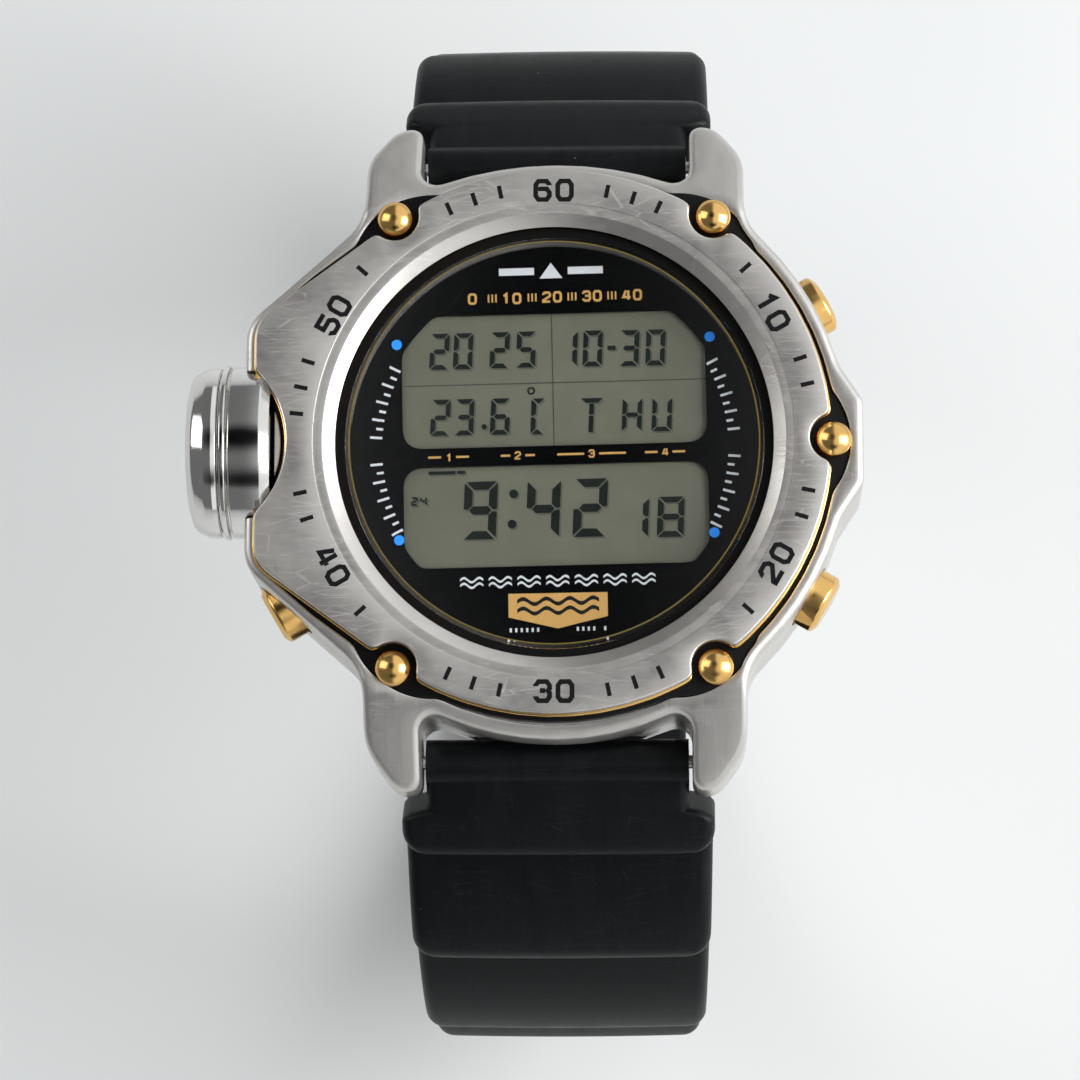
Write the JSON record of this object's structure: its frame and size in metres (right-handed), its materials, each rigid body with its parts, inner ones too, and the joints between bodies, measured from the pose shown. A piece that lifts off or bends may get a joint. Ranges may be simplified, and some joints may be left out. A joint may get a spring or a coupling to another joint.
{
  "type": "dive computer",
  "caption": "Digital dive watch with a steel case, round steel bezel plate, side depth sensor, gold pushers, twin LCD windows and a pleated black resin strap.",
  "frame": {"origin": "centre of the case back's outer face, the face that rests on the wrist", "axes": "+Z out of the case back through the dial, +X towards 3 o'clock, +Y towards 12 o'clock"},
  "size_m": [0.0498, 0.0799, 0.0772],
  "materials": {
    "brushed_case_steel": "satin brushed",
    "polished_steel": "mirror polished",
    "gold_plate": "polished gold plating",
    "strap_resin": "satin moulded resin",
    "black_plastic": "matt moulded",
    "dial_print": "printed dial film",
    "crystal_glass": "clear mineral glass",
    "lcd_glass": "matt reflective liquid crystal",
    "seal_rubber": "nitrile rubber",
    "board_green": "solder mask",
    "contact_metal": "stamped sheet"
  },
  "bodies": {
    "watch_body": {"case_body": "brushed_case_steel", "case_back": "brushed_case_steel", "case_back_gasket": "seal_rubber", "case_back_screws": "polished_steel", "bezel": "brushed_case_steel", "bezel_trim": "gold_plate", "bezel_seat": "black_plastic", "bezel_screws": "gold_plate", "crystal": "crystal_glass", "crystal_gasket": "seal_rubber", "dial_mask": "dial_print", "lcd_panel": "lcd_glass", "backlight_panel": "lcd_glass", "module_housing": "black_plastic", "zebra_strips": "seal_rubber", "circuit_board": "board_green", "module_base": "black_plastic", "battery": "polished_steel", "battery_clip": "polished_steel", "buzzer": "contact_metal", "switch_contacts": "contact_metal", "sensor_housing": "brushed_case_steel", "sensor_cap": "polished_steel", "sensor_oring": "seal_rubber", "sensor_element": "contact_metal", "pusher_springs": "polished_steel", "pusher_seals": "seal_rubber", "spring_bar_tubes": "polished_steel", "spring_bar_pins": "polished_steel"},
    "pusher_light_body": {"pusher_light": "gold_plate", "clip_light": "polished_steel"},
    "pusher_temp_body": {"pusher_temp": "gold_plate", "clip_temp": "polished_steel"},
    "pusher_mode_body": {"pusher_mode": "gold_plate", "clip_mode": "polished_steel"},
    "pusher_adjust_body": {"pusher_adjust": "polished_steel", "clip_adjust": "polished_steel"},
    "strap_12_body": {"strap_12": "strap_resin", "buckle_bar": "polished_steel"},
    "strap_6_body": {"strap_6": "strap_resin"},
    "keeper_body": {"keeper_loop": "strap_resin"},
    "buckle_body": {"buckle_frame": "polished_steel"},
    "tongue_body": {"buckle_tongue": "polished_steel"}
  },
  "joints": [
    {"name": "press_light", "type": "slide", "parent": "watch_body", "child": "pusher_light_body", "axis": [-0.866, -0.5, 0], "range_m": [0, 0.0006], "stiffness_N_per_m": 1500, "springref_m": -0.0003},
    {"name": "press_temp", "type": "slide", "parent": "watch_body", "child": "pusher_temp_body", "axis": [-0.866, 0.5, 0], "range_m": [0, 0.0006], "stiffness_N_per_m": 1500, "springref_m": -0.0003},
    {"name": "press_mode", "type": "slide", "parent": "watch_body", "child": "pusher_mode_body", "axis": [0.866, 0.5, 0], "range_m": [0, 0.0006], "stiffness_N_per_m": 1500, "springref_m": -0.0003},
    {"name": "press_adjust", "type": "slide", "parent": "watch_body", "child": "pusher_adjust_body", "axis": [0.866, -0.5, 0], "range_m": [0, 0.0006], "stiffness_N_per_m": 1500, "springref_m": -0.0003},
    {"name": "strap_12_hinge", "type": "hinge", "parent": "watch_body", "child": "strap_12_body", "pos_m": [0, 0.0227, 0.0036], "axis": [1, 0, 0], "range_deg": [0, 60]},
    {"name": "strap_6_hinge", "type": "hinge", "parent": "watch_body", "child": "strap_6_body", "pos_m": [0, -0.0227, 0.0036], "axis": [-1, 0, 0], "range_deg": [0, 60]},
    {"name": "buckle_hinge", "type": "hinge", "parent": "strap_12_body", "child": "buckle_body", "pos_m": [0, 0.02021, -0.05345], "axis": [1, 0, 0], "range_deg": [-15, 35]},
    {"name": "tongue_hinge", "type": "hinge", "parent": "buckle_body", "child": "tongue_body", "pos_m": [0, 0.02021, -0.05345], "axis": [1, 0, 0], "range_deg": [0, 90]},
    {"name": "keeper_slide", "type": "hinge", "parent": "strap_12_body", "child": "keeper_body", "pos_m": [0, 0.0063, -0.02733], "axis": [1, 0, 0], "range_deg": [-6, 7]}
  ]
}
